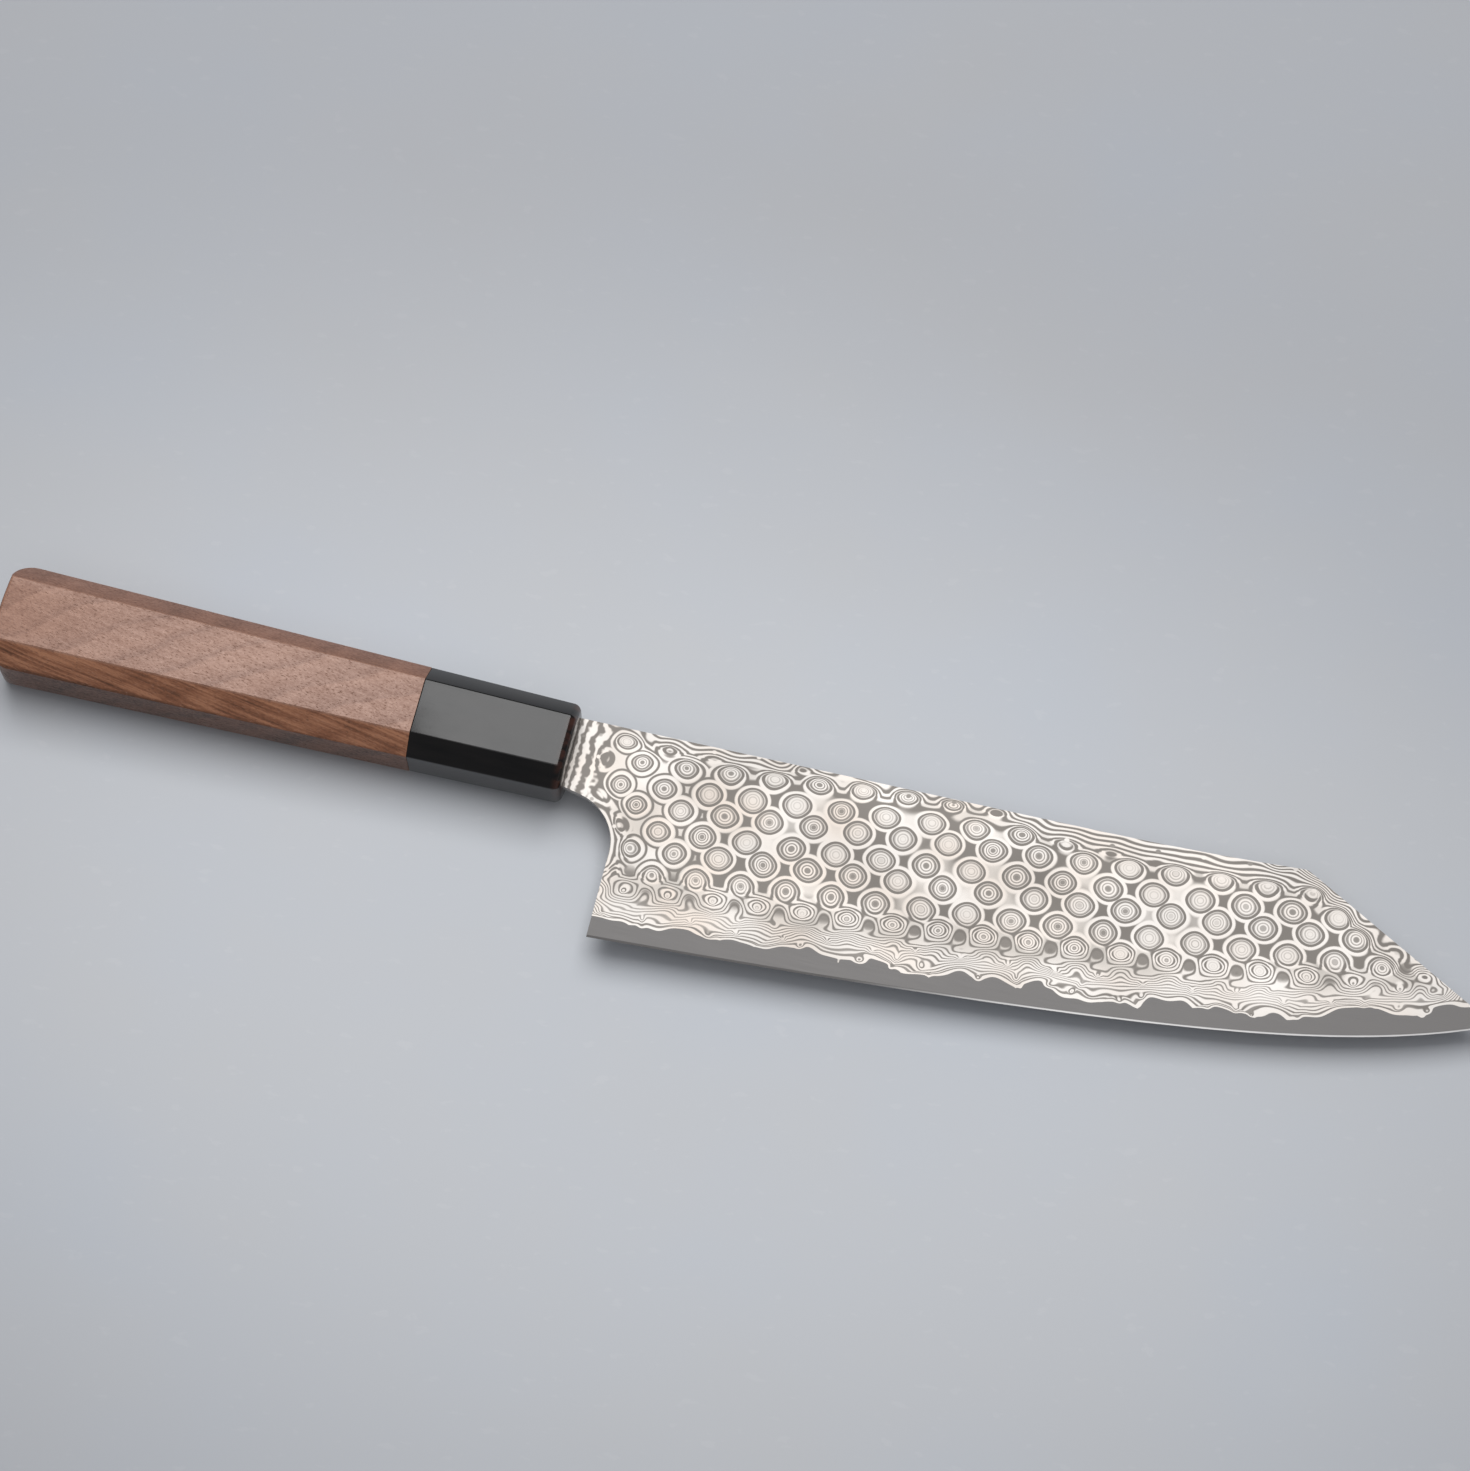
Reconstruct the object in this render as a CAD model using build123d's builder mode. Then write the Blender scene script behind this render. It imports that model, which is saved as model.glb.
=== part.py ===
from build123d import *
import os
from math import atan, cos, sin

# A kiritsuke kitchen knife with a 210 mm edge, lying on its side. All lengths in millimetres.
#
# The knife's own directions: along it, from the front face of the ferrule towards the tip;
# across it, towards the spine; and square to the blade, up. A reach is a distance along the
# knife from the ferrule's front face. A height or a drop is a distance above or below the
# handle's axis, which is also the line that the blade's mid-plane is measured from.

# Blade, seen from the side
edge_length = 210.0
heel_reach = 14.7
heel_drop = 42.8
tip_drop = 12.9
point_length = 49.5
corner_height = 13.8
corner_radius = 3.0
choil_radius = 12.5

# The edge rises from heel to tip by a straight share, a belly share and a sweep near the tip
edge_line_share = 0.405
edge_belly_share = 0.281
edge_sweep_share = 1 - edge_line_share - edge_belly_share
edge_sweep_power = 7

# The spine runs straight for most of its length and lifts a little before the corner
spine_straight_share = 0.72
spine_straight_rise_share = 0.48

# Blade, through its thickness: at the ferrule, at the heel, at the tip and at the edge.
# Those of spine and tip are measured at the height of the corner between spine and point.
neck_thickness = 2.2
spine_thickness = 2.0
tip_thickness = 0.9
shoulder_thickness = 0.3
bevel_height = 0.5
core_thickness = 0.4
grind_lead = 2.7
section_shares = (0.14, 0.28, 0.42, 0.55, 0.67, 0.77, 0.85, 0.92, 0.97)

# Handle, an octagon that swells from the ferrule's front to the butt
handle_length = 140.3
ferrule_length = 37.3
front_height = 22.1
front_thickness = 18.8
front_corner = 4.6
front_round = 2.0
butt_height = 26.6
butt_thickness = 21.7
butt_corner = 5.4
butt_dome = 1.0
butt_plan_round = 4.5
butt_round = 0.8

# Where the neck of the blade meets the ferrule
neck_step_spine = 1.9
neck_step_edge = 2.6
neck_fall = 3.0

# Inside the handle
ferrule_wall = 2.4
mouth_wall = 4.0
dowel_wall = 1.7
dowel_tail = 6.0
dowel_chamfer = 0.8
butt_solid = 40.0
bedding_gap = 0.3
glue_gap = 0.1
dowel_end_gap = 0.5
tang_taper_share = 0.6

overrun = 2.0

# Sizes and places that follow
tip_reach = heel_reach + edge_length
corner_reach = tip_reach - point_length
grind_reach = heel_reach - grind_lead
root_height = front_height / 2 - neck_step_spine
neck_drop = front_height / 2 - neck_step_edge
bore_depth = handle_length - butt_solid
bore_diameter = front_thickness - 2 * ferrule_wall
dowel_end = bore_depth - dowel_end_gap
dowel_diameter = bore_diameter - 2 * glue_gap
tang_length = dowel_end - dowel_tail
slot_height = dowel_diameter - 2 * dowel_wall
slot_thickness = neck_thickness + 2 * bedding_gap
tang_front_height = slot_height - 2 * bedding_gap
tang_end_height = tang_front_height * tang_taper_share

# The knife's mid-plane. It is tipped so that the lower flat of the swelling handle lies level
# at z = 0, and the origin is on that level, under the middle of the knife's outline.
lie_angle = atan((butt_thickness - front_thickness) / 2 / handle_length)
mid_plane = Plane(
    origin=(
        (handle_length - tip_reach) / 2,
        (heel_drop - corner_height) / 2,
        front_thickness / 2 * cos(lie_angle),
    ),
    x_dir=(cos(lie_angle), 0, -sin(lie_angle)),
    z_dir=(sin(lie_angle), 0, cos(lie_angle)),
)

upright_plane = Plane(
    origin=mid_plane.origin,
    x_dir=mid_plane.x_dir,
    z_dir=-mid_plane.y_dir,
)


def across(reach):
    """The plane square to the knife at a reach."""
    return Plane(
        origin=mid_plane.from_local_coords(Vector(reach, 0, 0)),
        x_dir=mid_plane.y_dir,
        z_dir=mid_plane.x_dir,
    )


def edge_rise(share):
    """The height of the cutting edge at a share of its length from heel to tip."""
    line = edge_line_share * share
    belly = edge_belly_share * share**2
    sweep = edge_sweep_share * share**edge_sweep_power
    return -heel_drop + (heel_drop - tip_drop) * (line + belly + sweep)


def blade_section(share, at_shoulder, at_spine):
    """The blade cut across: edge, bevel shoulders and straight faces up to the corner's height."""
    low = edge_rise(share)
    with BuildSketch(across(heel_reach + share * edge_length)) as section:
        with BuildLine():
            Polyline(
                (low, 0),
                (low + bevel_height, at_shoulder / 2),
                (corner_height, at_spine / 2),
                (corner_height, -at_spine / 2),
                (low + bevel_height, -at_shoulder / 2),
                close=True,
            )
        make_face()
    return section.sketch


def ground_section(share):
    """The blade cut across where it is ground to a wedge, thinner towards the tip."""
    at_spine = spine_thickness + (tip_thickness - spine_thickness) * share
    return blade_section(share, shoulder_thickness, at_spine)


def swell(at_front, at_butt, reach):
    """A size of the handle at a reach, between its sizes at the front and at the butt."""
    return at_front + (at_butt - at_front) * -reach / handle_length


def corner_plane(across_side, up_side):
    """The sloping flat at one corner of the handle's octagon, facing outwards."""
    front_side = (0, across_side * front_height / 2, up_side * (front_thickness / 2 - front_corner))
    front_top = (0, across_side * (front_height / 2 - front_corner), up_side * front_thickness / 2)
    butt_side = (
        -handle_length,
        across_side * butt_height / 2,
        up_side * (butt_thickness / 2 - butt_corner),
    )
    start = mid_plane.from_local_coords(Vector(*front_side))
    along = mid_plane.from_local_coords(Vector(*butt_side)) - start
    slope = mid_plane.from_local_coords(Vector(*front_top)) - start
    return Plane(origin=start, x_dir=along, z_dir=along.cross(slope) * across_side * up_side)


# The handle in one piece, before it is parted into ferrule and grip. The butt is domed and its
# corners are rounded off towards spine and edge. The eased rims of the upper and lower flats
# run on along the handle's sides, where the sloping flats then take them away.
with BuildPart() as handle_blank:
    rim_reach = butt_dome - handle_length
    rim_height = swell(front_height, butt_height, rim_reach)
    with BuildSketch(mid_plane) as plan:
        with BuildLine():
            dome = ThreePointArc(
                (rim_reach, rim_height / 2),
                (-handle_length, 0),
                (rim_reach, -rim_height / 2),
            )
            Polyline(dome @ 1, (0, -front_height / 2), (0, front_height / 2), dome @ 0)
        make_face()
        fillet(plan.vertices().sort_by(Axis.X)[:2], butt_plan_round)
    extrude(amount=butt_thickness, both=True)

    beyond_reach = -handle_length - overrun
    beyond_thickness = swell(front_thickness, butt_thickness, beyond_reach)
    with BuildSketch(upright_plane):
        with BuildLine():
            Polyline(
                (0, front_thickness / 2),
                (beyond_reach, beyond_thickness / 2),
                (beyond_reach, -beyond_thickness / 2),
                (0, -front_thickness / 2),
                close=True,
            )
        make_face()
    extrude(amount=butt_height, both=True, mode=Mode.INTERSECT)

    upright = Axis(mid_plane.origin, mid_plane.z_dir)
    butt_face = handle_blank.faces().sort_by(Axis.X)[0]
    fillet(butt_face.edges().filter_by(upright, reverse=True), butt_round)
    for across_side in (-1, 1):
        for up_side in (-1, 1):
            split(bisect_by=corner_plane(across_side, up_side), keep=Keep.BOTTOM)

# The laminated blank, before it is told apart into its three layers: the ground blade, the
# full-thickness neck that runs out into it, and the tang, all trimmed to one outline.
grind_share = (grind_reach - heel_reach) / edge_length
beyond_share = 1 + overrun / edge_length
ferrule_share = -heel_reach / edge_length

with BuildPart() as blank:
    loft([ground_section(share) for share in (grind_share, *section_shares, beyond_share)])
    loft(
        [blade_section(ferrule_share, neck_thickness, neck_thickness), ground_section(grind_share)],
        ruled=True,
    )
    with BuildSketch(across(0)):
        Rectangle(slot_height, neck_thickness)
    extrude(amount=-tang_length)

    spine_turn = (
        corner_reach * spine_straight_share,
        root_height + (corner_height - root_height) * spine_straight_rise_share,
    )
    corner = (corner_reach, corner_height)
    below = -heel_drop - overrun
    point_slope = (corner_height + tip_drop) / point_length
    choil_corner = (heel_reach, -neck_drop - neck_fall)
    with BuildSketch(mid_plane) as outline:
        with BuildLine():
            spine = Line((0, root_height), spine_turn)
            TangentArc(spine_turn, corner, tangent=spine % 1)
            Polyline(
                corner,
                (corner_reach + (corner_height - below) / point_slope, below),
                (heel_reach, below),
                choil_corner,
                (0, -neck_drop),
                (0, -tang_front_height / 2),
                (-tang_length, -tang_end_height / 2),
                (-tang_length, tang_end_height / 2),
                (0, tang_front_height / 2),
                (0, root_height),
            )
        make_face()
        fillet(outline.vertices().sort_by_distance((*corner, 0))[0], corner_radius)
        fillet(
            outline.vertices().sort_by_distance((*choil_corner, 0))[0],
            min(choil_radius, heel_reach),
        )
    extrude(amount=neck_thickness + spine_thickness, both=True, mode=Mode.INTERSECT)

# The three layers, parted by the flat faces of the core
with BuildPart() as core_steel:
    add(blank.part)
    split(bisect_by=mid_plane.offset(core_thickness / 2), keep=Keep.BOTTOM)
    split(bisect_by=mid_plane.offset(-core_thickness / 2), keep=Keep.TOP)

with BuildPart() as cladding_upper:
    add(blank.part)
    split(bisect_by=mid_plane.offset(core_thickness / 2), keep=Keep.TOP)

with BuildPart() as cladding_lower:
    add(blank.part)
    split(bisect_by=mid_plane.offset(-core_thickness / 2), keep=Keep.BOTTOM)

# The black collar: rounded at the front, with a slot for the tang in its front wall and a bore
# for the dowel from behind
with BuildPart() as ferrule:
    add(handle_blank.part)
    split(bisect_by=across(-ferrule_length), keep=Keep.TOP)
    front_face = ferrule.faces().sort_by(Axis.X)[-1]
    fillet(front_face.edges(), front_round)
    with BuildSketch(across(0)):
        Rectangle(slot_height, slot_thickness)
    extrude(amount=-mouth_wall, mode=Mode.SUBTRACT)
    with BuildSketch(across(-mouth_wall)):
        Circle(bore_diameter / 2)
    extrude(amount=mouth_wall - ferrule_length, mode=Mode.SUBTRACT)

# The wooden grip, bored blind from the front
with BuildPart() as grip:
    add(handle_blank.part)
    split(bisect_by=across(-ferrule_length), keep=Keep.BOTTOM)
    with BuildSketch(across(-ferrule_length)):
        Circle(bore_diameter / 2)
    extrude(amount=ferrule_length - bore_depth, mode=Mode.SUBTRACT)

# The dowel that joins them, slotted from the front for the tang
with BuildPart() as dowel:
    with BuildSketch(across(-mouth_wall - glue_gap)):
        Circle(dowel_diameter / 2)
    extrude(amount=mouth_wall + glue_gap - dowel_end)
    chamfer(dowel.edges().filter_by(GeomType.CIRCLE), dowel_chamfer)
    with BuildSketch(across(0)):
        Rectangle(slot_height, slot_thickness)
    extrude(amount=-tang_length - bedding_gap, mode=Mode.SUBTRACT)

# The adhesive round the tang, flush with the ferrule's front face
with BuildPart() as tang_bedding:
    with BuildSketch(across(0)):
        Rectangle(slot_height, slot_thickness)
    extrude(amount=-tang_length - bedding_gap)
    add(blank.part, mode=Mode.SUBTRACT)

core_steel.part.label = "core_steel"
cladding_upper.part.label = "cladding_upper"
cladding_lower.part.label = "cladding_lower"
ferrule.part.label = "ferrule"
grip.part.label = "grip"
dowel.part.label = "dowel"
tang_bedding.part.label = "tang_bedding"

os.makedirs("parts", exist_ok=True)
export_step(core_steel.part, "parts/core_steel.step")
export_step(cladding_upper.part, "parts/cladding_upper.step")
export_step(cladding_lower.part, "parts/cladding_lower.step")
export_step(ferrule.part, "parts/ferrule.step")
export_step(grip.part, "parts/grip.step")
export_step(dowel.part, "parts/dowel.step")
export_step(tang_bedding.part, "parts/tang_bedding.step")
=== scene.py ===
from math import radians, tau

import bmesh
import bpy
from mathutils import Matrix, Vector


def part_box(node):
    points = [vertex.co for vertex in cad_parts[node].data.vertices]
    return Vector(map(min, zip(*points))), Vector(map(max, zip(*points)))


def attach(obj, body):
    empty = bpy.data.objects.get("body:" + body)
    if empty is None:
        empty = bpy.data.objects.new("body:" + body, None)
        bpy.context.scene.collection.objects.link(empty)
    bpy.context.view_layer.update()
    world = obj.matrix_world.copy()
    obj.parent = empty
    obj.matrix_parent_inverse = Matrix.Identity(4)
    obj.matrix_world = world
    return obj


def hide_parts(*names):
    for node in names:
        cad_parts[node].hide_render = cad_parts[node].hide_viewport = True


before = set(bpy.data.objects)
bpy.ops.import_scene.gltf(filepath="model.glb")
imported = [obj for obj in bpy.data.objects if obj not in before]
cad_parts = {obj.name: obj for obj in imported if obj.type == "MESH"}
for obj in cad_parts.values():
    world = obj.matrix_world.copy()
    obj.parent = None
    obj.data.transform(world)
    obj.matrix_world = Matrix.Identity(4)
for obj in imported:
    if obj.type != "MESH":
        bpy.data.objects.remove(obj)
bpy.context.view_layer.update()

# A kiritsuke kitchen knife lying on its side: a blade of layered steel over a hard core, a
# black horn ferrule and an octagonal walnut grip. Meshes are in metres, patterns in millimetres.

mm = 0.001

# The knife's own zero is the middle of the ferrule's front face. The blade points along X with
# its spine towards Y, and it is tipped a little, because the handle rests on its lower flat.
knife_zero = Vector((-42.2, 14.5, 9.4))
lie_angle = 0.592
knife_place = Matrix.Translation(knife_zero * mm) @ Matrix.Rotation(radians(lie_angle), 4, "Y")

# The camera, in the knife's own frame
camera_spot = Vector((113.9, -297.6, 895.5)) * mm
camera_azimuth = 13.96
camera_elevation = 70.27
camera_lens = 97.89
camera_reach = 20

# The light that comes from all round
studio_grey = (0.15, 0.15, 0.16, 1)

# The table is a square around the knife, just below what lies on it.
table_reach = 3
table_drop = 0.1 * mm

# The handle's upper flat rises evenly from the ferrule to the butt. Edges sharper than an angle
# are eased.
ferrule_low, ferrule_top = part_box("ferrule")
grip_low, grip_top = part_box("grip")
handle_swell = (grip_top.z - ferrule_top.z) / (ferrule_low.x - grip_low.x)
ferrule_back = ferrule_low.x / mm - knife_zero.x
front_top = ferrule_top.z / mm - knife_zero.z + ferrule_back * handle_swell
handle_ease = 0.25 * mm
sharp_angle = radians(20)

# Random hills: what brings their height to about 1 and their width to the size asked for, and
# how far apart two seeds look them up
hill_gain = 1.8
hill_spread = 0.62
seed_gap = 7.31


class Value:
    """A number that varies over a surface. Arithmetic on it adds Math nodes to its finish."""

    def __init__(self, finish, socket):
        self.finish = finish
        self.socket = socket

    def __add__(self, other):
        return self.finish.math("ADD", self, other)

    def __radd__(self, other):
        return self.finish.math("ADD", other, self)

    def __sub__(self, other):
        return self.finish.math("SUBTRACT", self, other)

    def __rsub__(self, other):
        return self.finish.math("SUBTRACT", other, self)

    def __mul__(self, other):
        return self.finish.math("MULTIPLY", self, other)

    def __truediv__(self, other):
        return self.finish.math("DIVIDE", self, other)

    def __pow__(self, other):
        return self.finish.math("POWER", self, other)


class Finish:
    """A surface finish: one material, built up node by node on a Principled shader."""

    def __init__(self, name, **constants):
        self.material = bpy.data.materials.new(name)
        self.material.use_nodes = True
        self.tree = self.material.node_tree
        self.tree.nodes.clear()
        self.shader = self.tree.nodes.new("ShaderNodeBsdfPrincipled")
        output = self.tree.nodes.new("ShaderNodeOutputMaterial")
        self.tree.links.new(self.shader.outputs["BSDF"], output.inputs["Surface"])
        for socket_name, constant in constants.items():
            self.shader.inputs[socket_name.replace("_", " ")].default_value = constant
        self.coordinates = self.node("ShaderNodeTexCoord", output="Object")

    def node(self, kind, settings=None, inputs=None, output=0):
        """Adds a node of a kind, sets it up, feeds its sockets and returns one output."""
        node = self.tree.nodes.new(kind)
        for name, setting in (settings or {}).items():
            if name == "stops":
                self.set_stops(node.color_ramp, setting)
            else:
                setattr(node, name, setting)
        for name, source in (inputs or {}).items():
            self.feed(node.inputs[name], source)
        return Value(self, node.outputs[output])

    def set_stops(self, ramp, stops):
        while len(ramp.elements) < len(stops):
            ramp.elements.new(1.0)
        for element, (place, colour) in zip(ramp.elements, stops):
            element.position = place
            element.color = colour

    def feed(self, socket, source):
        """Links a Value to a socket, or sets the socket to a constant."""
        if isinstance(source, Value):
            self.tree.links.new(source.socket, socket)
        else:
            socket.default_value = source

    def math(self, operation, *operands):
        return self.node(
            "ShaderNodeMath", {"operation": operation}, dict(enumerate(operands))
        )

    def place(self, x, y, z=0.0):
        """A vector for the textures to look up."""
        return self.node("ShaderNodeCombineXYZ", inputs={"X": x, "Y": y, "Z": z})

    def axes(self, vector):
        """The X, Y and Z of a vector."""
        split = self.node("ShaderNodeSeparateXYZ", inputs={"Vector": vector}).socket.node
        return [Value(self, socket) for socket in split.outputs]

    def knife_axes(self):
        """How far a point of the surface is from the knife's zero, in millimetres."""
        return [
            axis * (1 / mm) - start
            for axis, start in zip(self.axes(self.coordinates), knife_zero)
        ]

    def facing(self, axis):
        """How squarely a face looks along an axis, either way: 0 for X, 1 for Y and 2 for Z."""
        normal = self.node("ShaderNodeTexCoord", output="Normal")
        return self.math("ABSOLUTE", self.axes(normal)[axis])

    def step(self, value, low, high):
        """A smooth step from 0 at the low value to 1 at the high one."""
        return self.node(
            "ShaderNodeMapRange",
            {"interpolation_type": "SMOOTHSTEP"},
            {"Value": value, "From Min": low, "From Max": high},
        )

    def swing(self, value):
        """A soft wave along a value: 1 at every whole number and 0 halfway between them."""
        return self.math("COSINE", value * tau) * 0.5 + 0.5

    def ramp_up(self, value, ease):
        """The value where it is above 0, and 0 where it is below, with the corner eased."""
        return self.math("SMOOTH_MAX", value, 0.0, ease)

    def clamp(self, value, low=0.0, high=1.0):
        return self.node("ShaderNodeClamp", inputs={"Value": value, "Min": low, "Max": high})

    def noise(self, x, y, z, detail=0.0):
        """Soft random hills from about -1 to 1, each about as wide as a unit of x, y and z."""
        texture = self.node(
            "ShaderNodeTexNoise",
            {"noise_dimensions": "3D", "normalize": False},
            {"Vector": self.place(x, y, z), "Scale": 1.0, "Detail": detail},
        )
        return texture * hill_gain

    def chance(self, x, y, z=0.0, output="Value"):
        """A random number from 0 to 1 for each place, or three of them as a colour."""
        place = self.place(x, y, z)
        return self.node("ShaderNodeTexWhiteNoise", inputs={"Vector": place}, output=output)

    def mix(self, share, under, over, blend="MIX"):
        """One colour over another, by a share from 0 to 1."""
        return self.node(
            "ShaderNodeMix",
            {"data_type": "RGBA", "blend_type": blend, "clamp_factor": True},
            {0: share, 6: under, 7: over},
            2,
        )

    def shades(self, value, *stops):
        """A colour read from a row of places and colours."""
        return self.node("ShaderNodeValToRGB", {"stops": stops}, {"Fac": value})

    def relief(self, height, strength, distance):
        """Raises the surface a little where the height is 1. The distance is in metres."""
        return self.node(
            "ShaderNodeBump",
            inputs={"Strength": strength, "Distance": distance, "Height": height},
        )

    def finish_with(self, **sources):
        """Feeds what varies over the surface to the Principled shader."""
        for name, source in sources.items():
            self.feed(self.shader.inputs[name.replace("_", " ")], source)
        return self.material


# The outline of the blade's side, in millimetres from the knife's zero. The edge curves up from
# the heel by shares of its run, of the run squared and of its seventh power. The spine rises
# evenly, and a little more once it is past the start of its bend.
heel_x = 14.7
heel_y = -42.8
edge_run = 210.0
edge_rise = 29.9
edge_curve = (0.405, 0.281, 0.314)
spine_start = 9.15
spine_rise = 3.1
bend_start = 0.72
bend_rise = 1.55
shoulder = Vector((175.2, 13.8))
point = Vector((224.7, -12.9))
choil_centre = Vector((2.2, -21.66))
choil_radius = 12.5

# Dimples drilled through the layers show them as rings. They stand in rows and columns: how
# many of each there are to a millimetre along X and Y, where the counts start, and how much
# wider the rows get along the blade. Two such sets cross, each with its own starts of row and
# column and its own seed for random draws, to which the gaps between dimples add a little.
row_pitch = 10.55
row_count = (0.09483, 0.01004)
row_zero = -1.6153
row_widening = 1e-5
column_pitch = 10.7
column_count = (0.01037, -0.09293)
column_zero = 0.0021
row_starts = ((0.0, 0.0, 5.0), (0.424, -0.551, 6.0))
gap_seed = 0.5

# The radius of the lowest dimples, and what the higher ones have more
dimple_radius = 1.2
dimple_growth = 1.85

# Small dimples near the edge: how far apart they may be, along the blade and across it
spot_pitch = (7.3, 5.7)

# The lines near the edge: how many there are, the height of the bare core below them, the
# straight line that they start from, and how far the layers wander everywhere else
edge_lines = 9.0
core_height = 4.6
start_slope = 0.1135
start_y = -33.8
wander_size = 0.18

# The colours of the steel: bright layers, a lighter bright colour painted towards the tip as
# painted light, etched layers, the satin core with its honed edge, and the blade seen from its
# sides
cool_nickel = (0.695, 0.665, 0.632, 1)
warm_nickel = (0.66, 0.597, 0.540, 1)
painted_light_nickel = (0.81, 0.778, 0.745, 1)
dull_nickel = (0.50, 0.47, 0.435, 1)
etched_layer = (0.262, 0.242, 0.222, 1)
satin_deep = (0.142, 0.137, 0.135, 1)
satin_light = (0.178, 0.172, 0.169, 1)
honed_steel = (0.85, 0.84, 0.83, 1)
side_bright = (0.55, 0.53, 0.51, 1)
side_dark = (0.27, 0.255, 0.245, 1)


class BladeSteel(Finish):
    """Layered steel, acid etched. Its lines are the contours of a field that counts layers,
    and the field comes from the dimples and from the distances to the blade's outline."""

    def __init__(self, name):
        super().__init__(name, Metallic=1.0)
        self.x, self.y, self.z = self.knife_axes()
        self.measure_outline()
        self.share_out()
        self.place_dimples()

    def hills(self, size_x, size_y, seed):
        """Soft random hills as long and wide as asked for, in millimetres."""
        long = self.x / size_x * hill_spread
        wide = self.y / size_y * hill_spread
        return self.noise(long, wide, seed * seed_gap)

    def measure_outline(self):
        """Distances to the edge, the spine, the sloping point and the choil."""
        x, y = self.x, self.y
        run = (x - heel_x) / edge_run
        curve = run * edge_curve[0] + run * run * edge_curve[1] + run**7 * edge_curve[2]
        self.above_edge = y - (curve * edge_rise + heel_y)
        along = x / shoulder.x
        bend = self.math("MAXIMUM", (along - bend_start) / (1 - bend_start), 0.0)
        self.below_spine = along * spine_rise + bend * bend * bend_rise + spine_start - y
        slope = (point - shoulder).normalized()
        self.inside_point = (x - shoulder.x) * slope.y - (y - shoulder.y) * slope.x
        choil_x = x - choil_centre.x
        choil_y = self.math("MAXIMUM", y - choil_centre.y, 0.0)
        from_choil = self.math("SQRT", choil_x * choil_x + choil_y * choil_y)
        self.inside_choil = from_choil - choil_radius

    def share_out(self):
        """Where the lines near the edge and the dimples are, and how the layers wander."""
        x = self.x
        self.low = self.step(self.above_edge, 13.0, 9.0)
        wander_x = self.hills(5, 5, 41) * wander_size + self.low * self.hills(6, 6, 43)
        wander_y = self.hills(5, 5, 42) * wander_size + self.low * self.hills(6, 6, 44)
        self.wander_x = x + wander_x
        self.wander_y = self.y + wander_y

        # Dimples grow with their height over the edge and fade out near the outline. Two
        # stretches along the spine have a wider strip clear of them.
        self.grow = self.step(self.above_edge, 11.0, 19.0)
        early = self.step(x, 16.0, 20.0) * self.step(x, 54.0, 48.0)
        late = self.step(x, 104.0, 116.0)
        self.clear = early * 2.0 + late * 3.6
        fade = self.step(x, 5.0, 11.0) * self.step(self.below_spine - self.clear, -0.5, 2.2)
        fade = fade * self.step(self.inside_point, 0.0, 4.0)
        self.fade = fade * self.step(self.inside_choil, 0.5, 3.5)

    def place_dimples(self):
        """Two crossing sets of dimples: how high the rings of a dimple stand at each place, how
        far the nearest middle is, and what chance gives each dimple and each gap."""
        x, y = self.wander_x, self.wander_y
        row = x * row_count[0] + y * row_count[1] - x * x * row_widening + row_zero
        column = x * column_count[0] + y * column_count[1] + column_zero
        rim = self.grow * dimple_growth + dimple_radius
        rim = rim * (self.step(self.x, 14.0, 42.0) * 0.22 + 0.78)
        squash = 1.3 - self.step(self.below_spine, 4.0, 9.0) * 0.3
        size = self.hills(40, 20, 81) * 0.04 + 1.065
        peaks, distances, moods, weights, pulls, islands = [], [], [], [], [], []
        for row_start, column_start, seed in row_starts:
            row_here = row + row_start
            column_here = column + column_start
            row_number = self.math("ROUND", row_here)
            column_number = self.math("ROUND", column_here)
            from_row = (row_here - row_number) * row_pitch
            from_column = (column_here - column_number) * column_pitch * squash
            chances = self.axes(self.chance(row_number, column_number, seed, "Color"))

            # How far out of its dimple a place is: 0 in the middle and about 1 at the rim,
            # which is drawn out a little on the two sides that look along the blade
            away_squared = from_row * from_row + from_column * from_column
            from_light_pool = self.math("SQRT", away_squared) * size / rim
            pointed = (from_row * from_row / (away_squared + 0.2)) ** 3
            from_light_pool = from_light_pool - pointed * self.step(from_light_pool, 0.6, 1.05) * 0.12
            peak = self.ramp_up(1.0 - from_light_pool, 0.5)
            distances.append(from_light_pool)
            weights.append(peak)
            peaks.append((rim * 1.5 + self.grow * (chances[0] - 0.5)) * peak)
            moods.append(peak * (chances[1] * 2.0 - 1.0))
            pulls.append(self.swing(row_here) * self.swing(column_here))

            # Chance decides how high the layers stand in each gap
            gap_row = row_here - 0.5
            gap_number = self.math("ROUND", gap_row)
            gap_chance = self.chance(gap_number, column_number, seed + gap_seed)
            island = self.swing(gap_row) * self.swing(column_here)
            islands.append(island * self.step(gap_chance, 0.15, 0.55))
        self.dimple = self.math("SMOOTH_MAX", peaks[0], peaks[1], 0.1) * self.fade
        self.nearest = self.math("SMOOTH_MIN", distances[0], distances[1], 0.05)
        self.mood = (moods[0] + moods[1]) / (weights[0] + weights[1] + 1e-4)
        self.crowd = pulls[0] + pulls[1]
        self.island = islands[0] + islands[1]
        self.inside = self.step(self.dimple, 1.0, 1.4)

    def spots(self):
        """Small dimples between the lines near the edge."""
        row = self.wander_x / spot_pitch[0] + 0.3
        column = (self.wander_y - self.wander_x * 0.1) / spot_pitch[1]
        row_number = self.math("ROUND", row)
        column_number = self.math("ROUND", column)
        from_row = (row - row_number) * spot_pitch[0]
        from_column = (column - column_number) * spot_pitch[1]
        spot = self.math("EXPONENT", from_row * from_row * -1.0 - from_column * from_column)
        drawn = self.step(self.chance(row_number, column_number), 0.35, 0.5)
        return spot * drawn * self.low * self.step(self.above_edge, 3.2, 5.0) * 1.3

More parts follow.
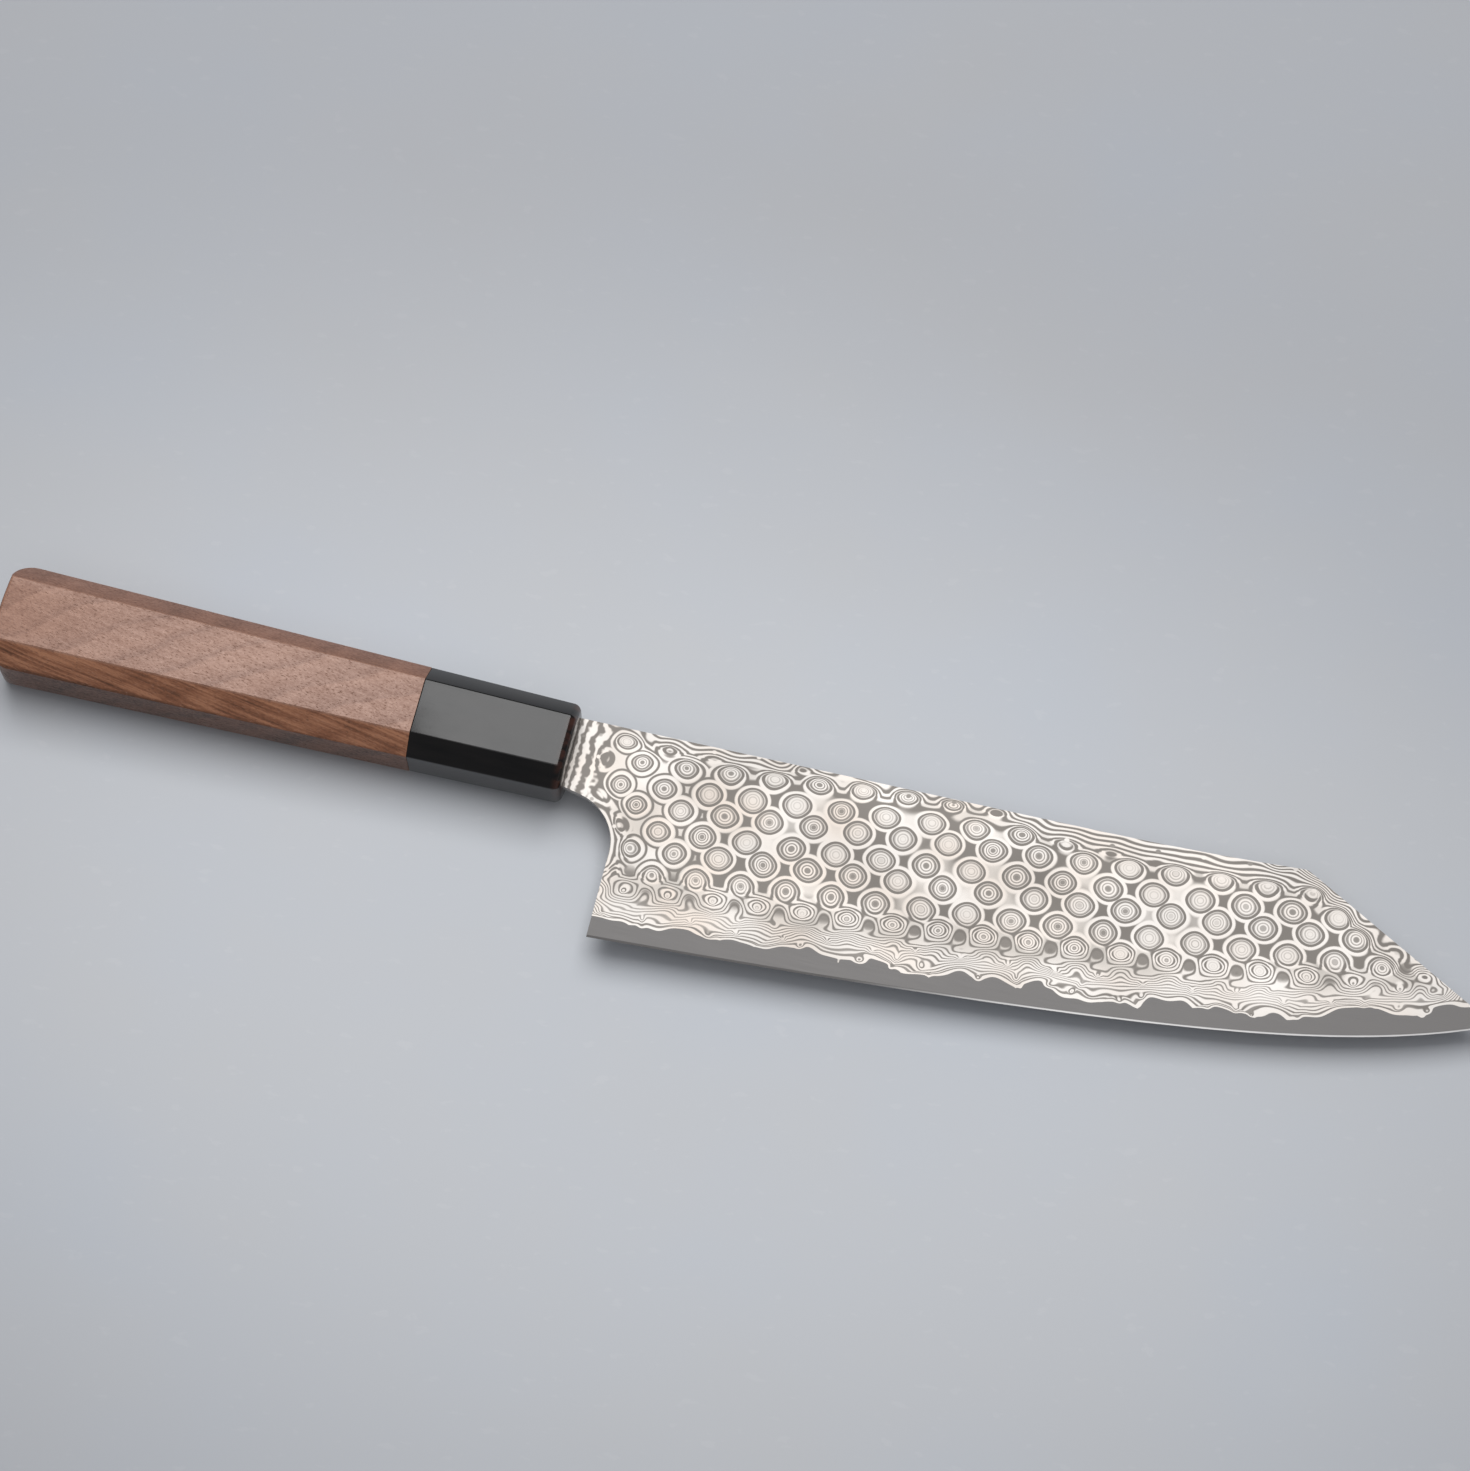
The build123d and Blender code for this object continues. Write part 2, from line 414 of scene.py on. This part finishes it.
    def lines_near_edge(self):
        """A number of layers between a straight start and the bare core. They wave, and the
        lowest dimples pull them up. Gives the number and the layers counted so far."""
        x, above_edge = self.x, self.above_edge
        lines = edge_lines - self.step(x, 178.0, 212.0) * 4.0 - self.step(x, 60.0, 25.0) * 2.5
        lift = self.step(x, 178.0, 200.0) * 0.9 + self.step(x, 45.0, 20.0) * 0.7
        above_core = above_edge - core_height - lift
        span = x * start_slope + start_y - self.y + above_core
        span = self.math("MAXIMUM", span, self.step(x, 150.0, 190.0) * 8.5)
        toward_core = 1 - above_core / span
        humps = self.math("ABSOLUTE", self.hills(8.5, 6, 31))
        ragged = self.step(above_edge, core_height + 4.5, core_height + 1.0) * 0.75 + 0.35
        waves = humps * 2.8 - 0.8 + self.hills(13, 4, 33) * 0.7 + self.hills(3.6, 3, 32) * ragged
        waves = waves * self.low * (1 - self.step(x, 180.0, 205.0) * 0.2)
        pull = self.math("SMOOTH_MIN", self.crowd, 0.6, 0.3) * 5.0
        pull = pull * self.step(above_edge, 19.0, 14.0) * self.step(above_edge, 7.0, 12.0)
        return lines, self.ramp_up(toward_core, 0.8) * lines + waves - pull

    def lines_between_dimples(self):
        """Layers round the dimples and in the gaps between them."""
        nearest = self.nearest
        nested = self.step(self.x, 44.0, 26.0)
        hole = self.clamp(self.island * (0.5 - nested * 0.5) + 0.12, 0.12, 0.44)
        between = self.step(nearest, 0.98, 1.18) * 0.25 + hole * self.step(nearest, 1.2, 1.55)
        between = between + self.step(nearest, 1.35, 1.95) * nested * 0.9
        return between * self.fade * self.grow + (1 - self.fade * self.grow) * 0.35

    def lines_along_outline(self):
        """Layers that follow the spine, the point and the choil, and those across the neck."""
        x, crowd = self.x, self.crowd
        spine = 4.6 + self.clear * 0.6 - self.below_spine - crowd * (2.6 - self.clear * 0.6)
        count = self.ramp_up(spine, 3.0) * self.step(x, 6.0, 16.0) * 0.75
        border = self.math("MINIMUM", self.below_spine, self.inside_point)
        count = count + self.step(border, 7.0, 2.0) * self.hills(7, 4, 71) * 0.5
        count = count + self.ramp_up(6.5 - self.inside_point - crowd * 3.0, 3.0) * 0.75
        count = count + self.ramp_up(4.5 - self.inside_choil, 3.0) * self.step(x, 5.0, 12.0) * 0.7
        neck = self.hills(2.0, 25, 24) * 0.5 + self.hills(0.7, 0.7, 25) * 0.16
        return count + self.ramp_up(10.0 - x, 3.0) * 0.42 + neck * self.step(x, 9.5, 6.5)

    def bands(self, field):
        """Light and dark bands, one of each to a layer: 1 is dark."""
        above_edge, inside = self.above_edge, self.inside

        # The outermost ring of a dimple is the boldest, and draped lines are bolder than rings
        bold = self.step(self.dimple, 0.15, 0.45) * (1 - inside)
        draped = self.step(above_edge, 20.0, 14.0)
        level = inside * 0.15 + draped * 0.35 - bold * (self.grow * 0.7 + 0.1)
        dark = self.step(self.math("SINE", field * tau) * -1.0 - level, -0.65, 0.7)

        # Dark hollows between the lowest dimples
        hollow = self.step(self.crowd, 0.2, 0.1) * self.step(above_edge, 12.0, 14.0) * self.fade
        dark = dark + (1 - dark) * hollow * self.step(above_edge, 20.0, 17.0) * 0.9

        # The rings inside a dimple are fainter, and so are some stretches near the edge
        calm = self.clamp(self.hills(9, 3.5, 51) * 0.5 + 0.5) * self.low
        calm = calm * self.step(above_edge, 5.5, 8.0)
        dark = dark * (1 - inside * (self.mood * 0.35 + 0.45) - calm * 0.45)

        # A light or dark dot in the middle of each large dimple
        dot = self.step(self.nearest, 0.27, 0.15) * self.grow
        return dark * (1 - dot) + dot * self.step(self.mood, 0.3, -0.3) * 0.85

    def layer_colour(self, dark):
        """Bright and etched layers, with warm and cool tints, painted light that lightens the
        bright layers towards the tip, and duller dimples and gaps.
        """
        tint = self.clamp(self.hills(9, 7, 61) * 0.8 + 0.45)
        bright = self.mix(tint, cool_nickel, warm_nickel)
        # Painted light: the bright layers are painted lighter towards the tip.
        bright = self.mix(self.step(self.x, 40.0, 180.0) * 0.5, bright, painted_light_nickel)
        plateau = self.clamp(tint * 0.5 + self.hills(5, 5, 63) * 0.4 + 0.2)
        plateau = plateau * self.step(self.nearest, 1.2, 1.5)
        dull = self.inside * self.step(self.mood, -0.3, 0.5) * 0.25
        dull = self.math("MAXIMUM", plateau, dull) * (1 - self.low) * self.fade
        return self.mix(dark, self.mix(dull, bright, dull_nickel), etched_layer)

    def core_colour(self, rubbed):
        """The satin core, worn by fine rubs along it and lighter towards the tip, with its honed
        edge towards the tip.
        """
        lighter_share = self.clamp(self.x * 0.003 - 0.2 + rubbed * 0.6)
        honed = self.step(self.above_edge, 0.55, 0.25) * self.step(self.x, 70.0, 130.0)
        return self.mix(honed, self.mix(lighter_share, satin_deep, satin_light), honed_steel)


def blade_finish(name, side_lines):
    """Dimples in rows, wavy lines towards the edge, and the bare hard core below them."""
    steel = BladeSteel(name)
    spots = steel.spots()
    lines, near_edge = steel.lines_near_edge()
    field = near_edge + steel.lines_between_dimples() + steel.lines_along_outline() + 0.08
    field = field + steel.hills(6, 6, 22) * 0.08 + steel.hills(1.8, 1.8, 23) * 0.03
    dark = steel.bands(field - steel.dimple - spots)

    # The bare core has a bright border with a dark line above it
    core_field = near_edge - steel.dimple * 0.6 - spots
    edging = steel.step(core_field, lines - 1.25, lines - 1.1)
    dark = dark + (1 - dark) * edging * 0.85
    dark = dark * (1 - steel.step(core_field, lines - 0.85, lines - 0.7))
    bare = steel.step(core_field, lines - 0.06, lines + 0.06)
    rubbed = steel.noise(steel.x / 9, steel.y / 0.12, steel.z) * 0.5 + 0.5
    colour = steel.mix(bare, steel.layer_colour(dark), steel.core_colour(rubbed))

    # Seen from its sides the blade shows its layers as fine straight lines
    stack = steel.math("SINE", steel.z * 22.0 + steel.hills(30, 30, 91) * 3.0) * 0.5 + 0.5
    side_on = steel.step(steel.facing(2), 0.75, 0.35)
    colour = steel.mix(side_on, colour, steel.mix(stack * side_lines, side_bright, side_dark))
    roughness = dark * 0.06 + 0.6 + steel.hills(14, 9, 62) * 0.03
    roughness = roughness * (1 - bare) + bare * (0.52 + rubbed * 0.06)
    height = (1 - dark) * (1 - bare) + bare * rubbed * 0.15
    return steel.finish_with(
        Base_Color=colour,
        Roughness=roughness,
        Normal=steel.relief(height, 0.25, 0.02 * mm),
    )


# The near side of the wood is warmer than the rest by this tint.
warm_wood = (1.0, 0.82, 0.62, 1)


def wood_finish(name, light, middle, deep, streaks, roughness):
    """Oiled wood with its grain along the handle: slanting growth lines, streaks and pores, with
    painted shade and painted light on some of its faces.
    """
    wood = Finish(name)
    x, y, z = wood.knife_axes()
    across = y + x * 0.15 + wood.noise(x / 45, y / 14, z / 14) * 1.2
    up = z + x * 0.15 + wood.noise(x / 60, y / 20, z / 20 + 5) * 0.8

    # Growth lines: each ring darkens slowly and ends sharply
    ring = (x - y * 1.7 - z * 1.2) / 14.0 + wood.noise(x / 32, y / 12, z / 12) * 0.25
    late = wood.math("FRACT", ring + wood.noise(x / 2.5, y / 2.5, z / 2.5, 1.0) * 0.03)
    late = (late**2 * 0.55 + late**8 * 0.45) * (1 - wood.step(late, 0.8, 1.0))
    shimmer = wood.noise(ring * 1.7, across / 20, 3.0) * 0.5 + 0.5

    # Streaks of colour and fine fibres along the grain. They differ between the upper flat, the
    # near side, its lower half, the far side and the ends. So does the depth of the colour:
    # painted shade darkens the far side and the near side's lower half, painted light lightens the
    # near side, and the end grain is darker.
    below_top = front_top - x * handle_swell - z
    lower = wood.step(below_top, 0.1, 0.5)
    end = wood.step(wood.facing(0), 0.5, 0.8)
    near_side = lower * wood.step(y, 3.0, -3.0) * (1 - end)
    # Painted shade: the lowest facet of the near side is painted dark.
    painted_shade_low_side = wood.step(below_top, 4.4, 5.2) * near_side
    far_side = (lower - near_side) * (1 - end)
    streak = wood.noise(x / 30, across / 0.9, up / 0.9, 2.0) * 0.5 + 0.5
    fibre = wood.noise(x / 0.9, across / 0.4, up / 0.4, 1.0)
    streaky = (near_side - painted_shade_low_side) * streaks + 0.1
    share = streak * streaky + fibre * 0.09 + late * (0.42 - lower * 0.25) - shimmer * 0.16
    # Painted shade darkens the far side and the near side's lowest facet, and painted light
    # lightens the near side.
    share = share + far_side * 0.28 + painted_shade_low_side * 0.72 - near_side * 0.15 + end * 0.3 + 0.2

    # Pores are short dark furrows, some of them filled with pale dust
    pores = wood.noise(x / 0.9, across / 0.2, up / 0.2)
    pore = wood.step(pores, 0.55, 0.9)
    dust = wood.step(pores, -0.72, -0.95)
    colour = wood.shades(share, (0.0, light), (0.42, middle), (1.0, deep))
    colour = wood.mix(near_side * 0.85, colour, warm_wood, "MULTIPLY")
    colour = wood.mix(pore * 0.4, colour, deep)
    colour = wood.mix(dust * 0.4, colour, light)
    return wood.finish_with(
        Base_Color=colour,
        Roughness=wood.clamp(fibre * 0.05 + pore * 0.25 + streak * 0.08 + roughness),
        Normal=wood.relief(fibre * 0.2 - pore, 0.35, 0.03 * mm),
    )


def horn_finish(name):
    """Polished black horn: a faint brown cast in places, and hairline scratches in the gloss."""
    horn = Finish(name)
    x, y, z = horn.knife_axes()
    cast = horn.noise(x / 16, y / 3, z / 3, 2.0) * 0.5 + 0.5
    brown = horn.step(cast, 0.2, 0.8) * horn.step(x, -2.6, -0.4)
    scratch = horn.noise(x / 7, y / 0.15, z / 0.15, 1.0)
    smudge = horn.noise(x / 9, y / 5, z / 5, 2.0) * 0.5 + 0.5
    colour = horn.mix(cast, (0.005, 0.005, 0.005, 1), (0.010, 0.009, 0.0085, 1))
    colour = horn.mix(brown, colour, (0.055, 0.022, 0.015, 1))
    return horn.finish_with(
        Base_Color=colour,
        Roughness=horn.clamp(smudge * 0.06 + horn.step(scratch, 0.7, 1.2) * 0.08 + 0.12),
        Normal=horn.relief(scratch * 0.2 + smudge, 0.06, 0.02 * mm),
    )


def resin_finish(name):
    """Dark bedding resin with a slightly grainy face."""
    resin = Finish(name)
    x, y, z = resin.knife_axes()
    grain = resin.noise(x / 0.5, y / 0.5, z / 0.5, 2.0) * 0.5 + 0.5
    return resin.finish_with(
        Base_Color=resin.mix(grain, (0.010, 0.009, 0.008, 1), (0.022, 0.018, 0.016, 1)),
        Roughness=resin.clamp(grain * 0.2 + 0.35),
        Normal=resin.relief(grain, 0.3, 0.03 * mm),
    )


def table_finish(name):
    """A pale blue-grey painted table, with broad cloudy patches and a few faint rubs. It is
    painted darker away from a spot beside the edge, near its heel, as a painted falloff of light."""
    table = Finish(name)
    x, y = table.knife_axes()[:2]
    cloud = table.noise(x / 120, y / 90, 4.0, 3.0) * 0.5 + 0.5
    tint = table.noise(x / 70, y / 60, 9.0, 2.0) * 0.5 + 0.5
    rub = table.step(table.noise(x / 7 + y / 9, y / 3 - x / 12, 2.0, 3.0), 0.85, 1.3) * 0.12
    from_light_pool = table.math("SQRT", (x * 0.8 - 28.0) ** 2 + (y * 1.35 + 61.0) ** 2)
    colour = table.mix(cloud, (0.575, 0.61, 0.66, 1), (0.61, 0.632, 0.665, 1))
    colour = table.mix(tint * 0.6, colour, (0.605, 0.62, 0.64, 1))
    colour = table.mix(rub, colour, (0.75, 0.76, 0.78, 1))
    # Painted light: the table darkens away from the spot where the light pools.
    colour = table.mix(table.step(from_light_pool, 60.0, 300.0) * 0.28, colour, (0, 0, 0.02, 1))
    return table.finish_with(Base_Color=colour, Roughness=table.clamp(cloud * 0.1 + 0.55))


def eased_copy(node, name, ease):
    """The shape of a rigid CAD node with its sharp edges eased by a small bevel."""
    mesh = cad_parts[node].data.copy()
    mesh.materials.clear()
    shape = bmesh.new()
    shape.from_mesh(mesh)
    bmesh.ops.remove_doubles(shape, verts=shape.verts, dist=0.001 * mm)
    bmesh.ops.dissolve_limit(shape, angle_limit=radians(0.5), verts=shape.verts, edges=shape.edges)
    sharp = [edge for edge in shape.edges if edge.calc_face_angle(0) > sharp_angle]
    bmesh.ops.bevel(
        shape,
        geom=sharp,
        offset=ease,
        segments=3,
        profile=0.5,
        affect="EDGES",
        material=-1,
        clamp_overlap=True,
    )
    for face in shape.faces:
        face.smooth = True
    shape.to_mesh(mesh)
    shape.free()
    piece = bpy.data.objects.new(name, mesh)
    bpy.context.scene.collection.objects.link(piece)
    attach(piece, "root")
    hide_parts(node)
    return piece


def place_camera():
    camera = bpy.data.objects.new("camera", bpy.data.cameras.new("camera"))
    camera.data.lens = camera_lens
    camera.data.clip_end = camera_reach
    camera.matrix_world = (
        knife_place
        @ Matrix.Translation(camera_spot)
        @ Matrix.Rotation(radians(camera_azimuth), 4, "Z")
        @ Matrix.Rotation(radians(90 - camera_elevation), 4, "X")
    )
    bpy.context.scene.collection.objects.link(camera)
    bpy.context.scene.camera = camera


def softbox(name, power, size, azimuth, elevation, distance):
    """A square soft light aimed at the middle of the knife."""
    light = bpy.data.lights.new(name, "AREA")
    light.energy = power
    light.shape = "SQUARE"
    light.size = size
    lamp = bpy.data.objects.new(name, light)
    lamp.matrix_world = (
        Matrix.Rotation(radians(azimuth), 4, "Z")
        @ Matrix.Rotation(radians(90 - elevation), 4, "X")
        @ Matrix.Translation((0, 0, distance))
    )
    bpy.context.scene.collection.objects.link(lamp)


place_camera()
softbox(
    "overhead", power=9.25, size=0.85, azimuth=camera_azimuth + 180, elevation=68, distance=1.1
)
softbox("front", power=2.4, size=1.0, azimuth=camera_azimuth, elevation=72, distance=1.2)
world = bpy.data.worlds.new("studio")
world.use_nodes = True
world.node_tree.nodes["Background"].inputs["Color"].default_value = studio_grey
bpy.context.scene.world = world
bpy.context.scene.view_settings.view_transform = "Standard"

floor_shape = bmesh.new()
bmesh.ops.create_grid(floor_shape, x_segments=1, y_segments=1, size=table_reach)
bmesh.ops.translate(floor_shape, verts=floor_shape.verts, vec=(0, 0, -table_drop))
floor_mesh = bpy.data.meshes.new("table")
floor_shape.to_mesh(floor_mesh)
floor_shape.free()
floor = bpy.data.objects.new("table", floor_mesh)
bpy.context.scene.collection.objects.link(floor)
floor_mesh.materials.append(table_finish("table"))

walnut = wood_finish(
    "walnut",
    light=(0.45, 0.245, 0.170, 1),
    middle=(0.270, 0.130, 0.085, 1),
    deep=(0.050, 0.025, 0.016, 1),
    streaks=0.5,
    roughness=0.34,
)
dowel_wood = wood_finish(
    "dowel_wood",
    light=(0.62, 0.47, 0.30, 1),
    middle=(0.50, 0.35, 0.20, 1),
    deep=(0.30, 0.18, 0.09, 1),
    streaks=0.3,
    roughness=0.5,
)
grip = eased_copy("grip", "walnut_grip", handle_ease)
grip.data.materials.append(walnut)
ferrule = eased_copy("ferrule", "horn_ferrule", handle_ease)
ferrule.data.materials.append(horn_finish("black_horn"))
layered_steel = blade_finish("layered_steel", side_lines=0.75)
for name, finish in (
    ("cladding_upper", layered_steel),
    ("cladding_lower", layered_steel),
    ("core_steel", blade_finish("core_steel", side_lines=0.25)),
    ("dowel", dowel_wood),
    ("tang_bedding", resin_finish("bedding")),
):
    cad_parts[name].material_slots[0].material = finish
